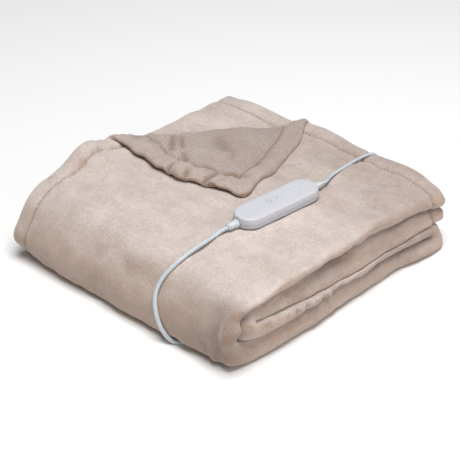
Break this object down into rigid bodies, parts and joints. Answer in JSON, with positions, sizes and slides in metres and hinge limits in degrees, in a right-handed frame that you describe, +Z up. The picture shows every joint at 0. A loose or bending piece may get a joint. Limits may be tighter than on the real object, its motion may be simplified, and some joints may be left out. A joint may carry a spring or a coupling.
{
  "type": "electric heated blanket",
  "caption": "Plush electric heated blanket folded into a thick square pad, a corner turned back, with a hand controller on top, its leads, a coiled mains lead and a plug.",
  "frame": {"origin": "middle of the folded blanket's underside, on the surface it rests on", "axes": "+Z up; +X from the big outer wrap of the fold towards its free end hems; +Y from the side where the layers show towards the turned-back corner"},
  "size_m": [0.5729, 0.4528, 0.1285],
  "materials": {
    "cloth": "plush",
    "case": "satin",
    "lights": "gloss",
    "leads": "satin",
    "pins": "nickel-plated, polished"
  },
  "bodies": {
    "root": {"blanket": "cloth", "controller_lower": "case", "controller_upper": "case", "level_light_1": "lights", "level_light_2": "lights", "level_light_3": "lights", "level_light_4": "lights", "mains_relief": "leads", "blanket_relief": "leads", "mains_lead": "leads", "mains_coil": "leads", "blanket_lead": "leads", "plug_body": "leads", "plug_pin_left": "pins", "plug_pin_right": "pins", "socket": "case"}
  },
  "joints": []
}
